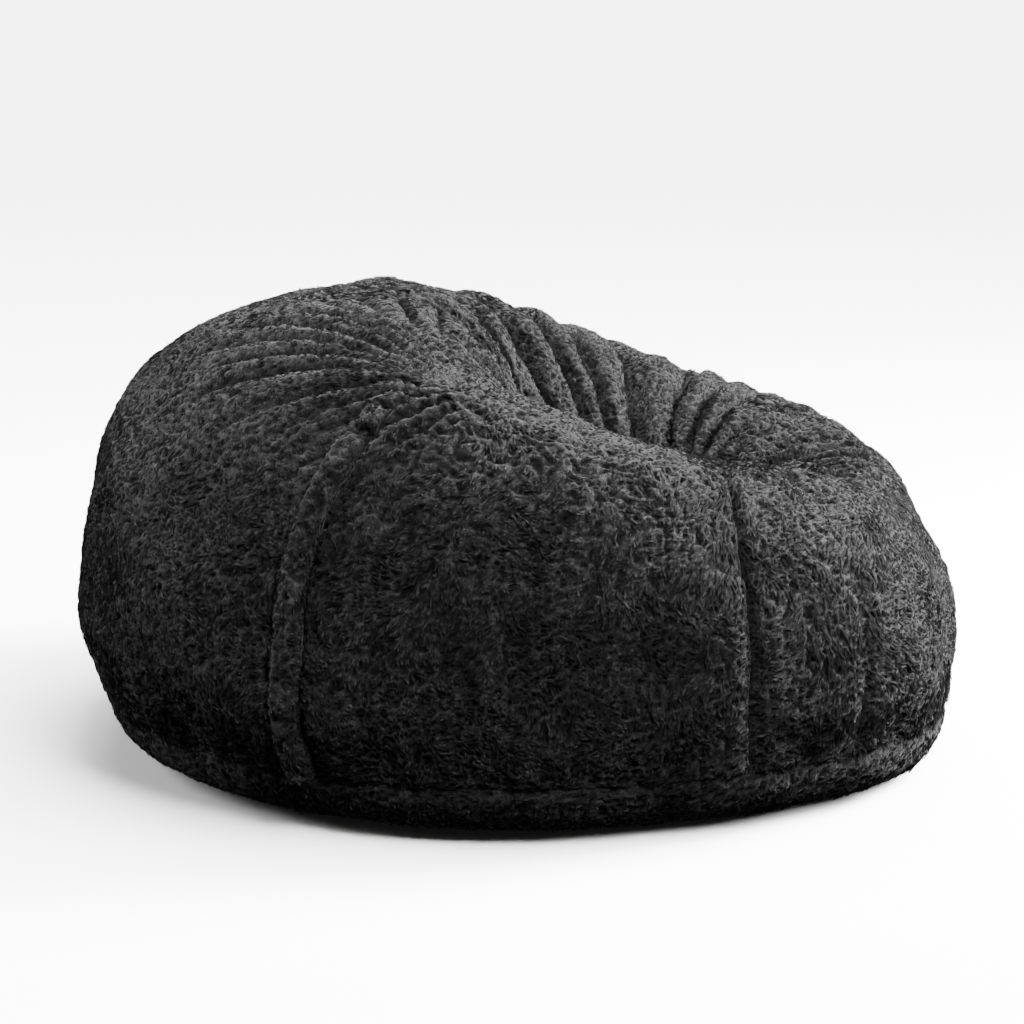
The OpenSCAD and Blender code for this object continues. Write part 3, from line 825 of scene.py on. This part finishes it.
def strands(name, parent, grid, wrap, material, length, seed, keep=None):
    """Curly pile: strands lie over in swept patches, and gather into fine locks towards their tips."""
    rng = np.random.default_rng(seed)
    p, n, tone, crease = grid
    r, c, u, v = scatter(p, wrap, PILE_SPACING, rng)
    root, normal = sample(p, r, c, u, v, wrap), sample(n, r, c, u, v, wrap)
    local = sample(np.stack([tone, crease], -1), r, c, u, v, wrap)
    if keep is not None:
        chosen = keep(root)
        root, normal, local = root[chosen], normal[chosen], local[chosen]
    normal /= np.linalg.norm(normal, axis=1, keepdims=True)
    centre, lot = nearest_lock(root, LOCK_SIZE, seed % 7)
    swirl = np.stack([noise(centre, 0.070, 80 + k) for k in range(3)], -1)
    wave = np.stack([noise(centre, 0.014, 84 + k) for k in range(3)], -1)
    lean = (swirl * 1.8 + wave * 0.9 + (lot[:, :3] - 0.5) * 0.4 + np.array([0, 0, -0.35])
            + 0.12 * rng.normal(size=root.shape) + combed_out(root) * 1.0)
    lean -= (lean * normal).sum(1, keepdims=True) * normal
    pull = centre - root
    pull -= (pull * normal).sum(1, keepdims=True) * normal
    size = length * (0.70 + 0.6 * lot[:, 3]) * (0.85 + 0.3 * rng.random(len(root)))
    size = size * (1 - 0.30 * smooth(root[:, 2], 0.34, 0.50)) * (1 - 0.7 * local[:, 1])
    across = np.cross(normal, lean)
    spin = (lot[:, 1] - 0.5) * 2
    points = np.empty((len(root), STRAND_POINTS, 3))
    for k in range(STRAND_POINTS):
        s = k / (STRAND_POINTS - 1)
        curl = spin * size * 0.22 * math.sin(s * 4.0)
        points[:, k] = (root - normal * 0.0012 + normal * (size * (s - 0.50 * s * s) * 0.62)[:, None]
                        + lean * (size * s * s * 0.72)[:, None] + pull * (0.86 * s ** 0.7)
                        + across * curl[:, None])
    curves = bpy.data.hair_curves.new(name)
    curves.add_curves([STRAND_POINTS] * len(root))
    curves.position_data.foreach_set("vector", points.astype(np.float32).ravel())
    radius = np.tile(np.linspace(1.0, 0.40, STRAND_POINTS) * STRAND_RADIUS, len(root)).astype(np.float32)
    curves.attributes.new("radius", "FLOAT", "POINT").data.foreach_set("value", radius)
    crimp = noise(root * np.array([1.0, 1.0, 1.7]) + 0.004 * wave, 0.0055, 95)
    # The cover's tone with its painted shade, times each lock's own tone and a crimp.
    shade = local[:, 0] * (0.50 + 0.8 * lot[:, 0]) * (0.40 + 1.3 * smooth(crimp, -0.5, 0.6))
    curves.attributes.new("tone", "FLOAT", "CURVE").data.foreach_set("value", shade.astype(np.float32))
    curves.materials.append(material)
    obj = bpy.data.objects.new(name, curves)
    bpy.context.scene.collection.objects.link(obj)
    obj.parent = parent


def grow_pile(gores, cover, base, band, cap, material):
    for index, (side, gore) in enumerate(zip(GORES, gores)):
        first = ZIP_ROWS if side in ZIPPED else 0
        patch = [field[first:, gore_columns(index, COLUMNS)] for field in cover[1:]]
        strands("pile_" + side, gore, patch, False, material, PILE_LENGTH, 61 + index, clear_of_fittings)
    strands("pile_base", *base, True, material, SHORT_PILE, 71, clear_of_fittings)
    strands("pile_band", *band, False, material, SHORT_PILE, 72)
    strands("pile_cap", *cap, True, material, PILE_LENGTH, 73)


# ---- CAD nodes that stay ----

def finish_cad_nodes():
    """A material for every CAD node that still shows; returns them by slot."""
    binding = woven_material("binding_weave", grey(0.010), grey(0.035), 900.0)
    tape = woven_material("zip_tape_weave", grey(0.006), grey(0.022), 1200.0)
    liner = woven_material("liner_weave", (0.58, 0.55, 0.49), (0.80, 0.77, 0.71), 800.0)
    label = woven_material("label_satin", (0.42, 0.42, 0.40), (0.56, 0.56, 0.54), 2200.0, 0.55)
    metal, coil, foam = metal_material(), coil_material(), foam_material()
    by_slot = {"binding": binding, "zip_tape": tape, "liner": liner, "label": label, "zip_metal": metal,
               "zip_coil": coil, "filling": foam}
    slot_of = {s["node"]: s["material_slot"] for s in frame["record"]["subparts"]}
    for name, obj in frame["nodes"].items():
        material = by_slot.get(slot_of[name])
        if material:
            for holder in obj.material_slots:
                holder.material = material
    return by_slot


# ---- Studio ----

FLOOR_R, FLOOR_CORNERS = 40.0, 96
CHAIR_MIDDLE = (0, 0, 0.3)
LENS, LENS_SHIFT = 111.055, (-0.00615, 0.04238)      # as fitted to the chair's outline
CAMERA_ELEVATION, CAMERA_DISTANCE = math.radians(12.3), 4.4


def build_floor():
    """Plain paper, which the chair neither reflects nor takes light from."""
    verts = FLOOR_R * out(np.arange(FLOOR_CORNERS) * TAU / FLOOR_CORNERS)
    floor = mesh_object("studio_floor", verts, np.arange(FLOOR_CORNERS)[None])
    m = Nodes("studio_paper")
    m.set(Base_Color=(0.92, 0.92, 0.92, 1), Roughness=1.0)
    m.set(Specular_IOR_Level=0.0)
    floor.data.materials.append(m.material)
    floor.visible_diffuse = floor.visible_glossy = False
    return floor


def place_light(name, kind, place, aim, power, **settings):
    light = bpy.data.lights.new(name, kind)
    light.energy = power
    for key, value in settings.items():
        setattr(light, key, value)
    obj = bpy.data.objects.new(name, light)
    turn = (Vector(aim) - Vector(place)).to_track_quat("-Z", "Y").to_matrix().to_4x4()
    obj.matrix_world = Matrix.Translation(place) @ turn
    bpy.context.scene.collection.objects.link(obj)
    return obj


def softbox(name, place, power, width, height):
    place_light(name, "AREA", place, CHAIR_MIDDLE, power, shape="RECTANGLE", size=width, size_y=height)


def build_lights(floor):
    """Softboxes round the chair, strongest on the right, and a wide soft light on the floor alone."""
    softbox("window_right", (3.4, 0.7, 2.3), 1040, 1.6, 1.6)
    softbox("softbox_top", (-0.2, 1.0, 3.8), 240, 3.0, 2.2)
    softbox("fill_left", (-3.7, 0.0, 2.2), 160, 2.0, 2.0)
    softbox("softbox_front", (1.0, -2.8, 2.7), 165, 1.1, 1.1)
    sun = place_light("paper_light", "SUN", (1.8, -0.4, 2.6), (0, 0, 0), 24.0, angle=math.radians(72))
    only_floor = bpy.data.collections.new("paper_only")
    only_floor.objects.link(floor)
    sun.light_linking.receiver_collection = only_floor
    world = bpy.data.worlds.new("studio_air")
    world.use_nodes = True
    tree = world.node_tree
    air = tree.nodes["Background"]
    seen = tree.nodes.new("ShaderNodeBackground")
    air.inputs["Color"].default_value = seen.inputs["Color"].default_value = (1, 1, 1, 1)
    air.inputs["Strength"].default_value = 0.11
    seen.inputs["Strength"].default_value = 17.0
    mix, path = tree.nodes.new("ShaderNodeMixShader"), tree.nodes.new("ShaderNodeLightPath")
    tree.links.new(path.outputs["Is Camera Ray"], mix.inputs[0])
    tree.links.new(air.outputs[0], mix.inputs[1])
    tree.links.new(seen.outputs[0], mix.inputs[2])
    tree.links.new(mix.outputs[0], tree.nodes["World Output"].inputs[0])
    bpy.context.scene.world = world


def build_camera():
    camera = bpy.data.cameras.new("camera")
    camera.sensor_width = 36.0
    camera.lens = LENS
    camera.shift_x, camera.shift_y = LENS_SHIFT
    obj = bpy.data.objects.new("camera", camera)
    target = Vector((0, 0, 0.25))
    away = Vector((0, -math.cos(CAMERA_ELEVATION), math.sin(CAMERA_ELEVATION)))
    turn = (-away).to_track_quat("-Z", "Y").to_matrix().to_4x4()
    obj.matrix_world = Matrix.Translation(target + CAMERA_DISTANCE * away) @ turn
    bpy.context.scene.collection.objects.link(obj)
    bpy.context.scene.camera = obj


def main():
    build_camera()
    plush, strand = plush_material(), strand_material()
    gores, cover = build_gores(plush)
    base = build_base(plush)
    cap = build_cap(plush)
    band = build_band(plush, cover)
    grow_pile(gores, cover, base, band, cap, strand)
    by_slot = finish_cad_nodes()
    build_liner(by_slot["liner"])
    build_fill(by_slot["filling"])
    build_bindings(by_slot["binding"], cover)
    build_lights(build_floor())


main()
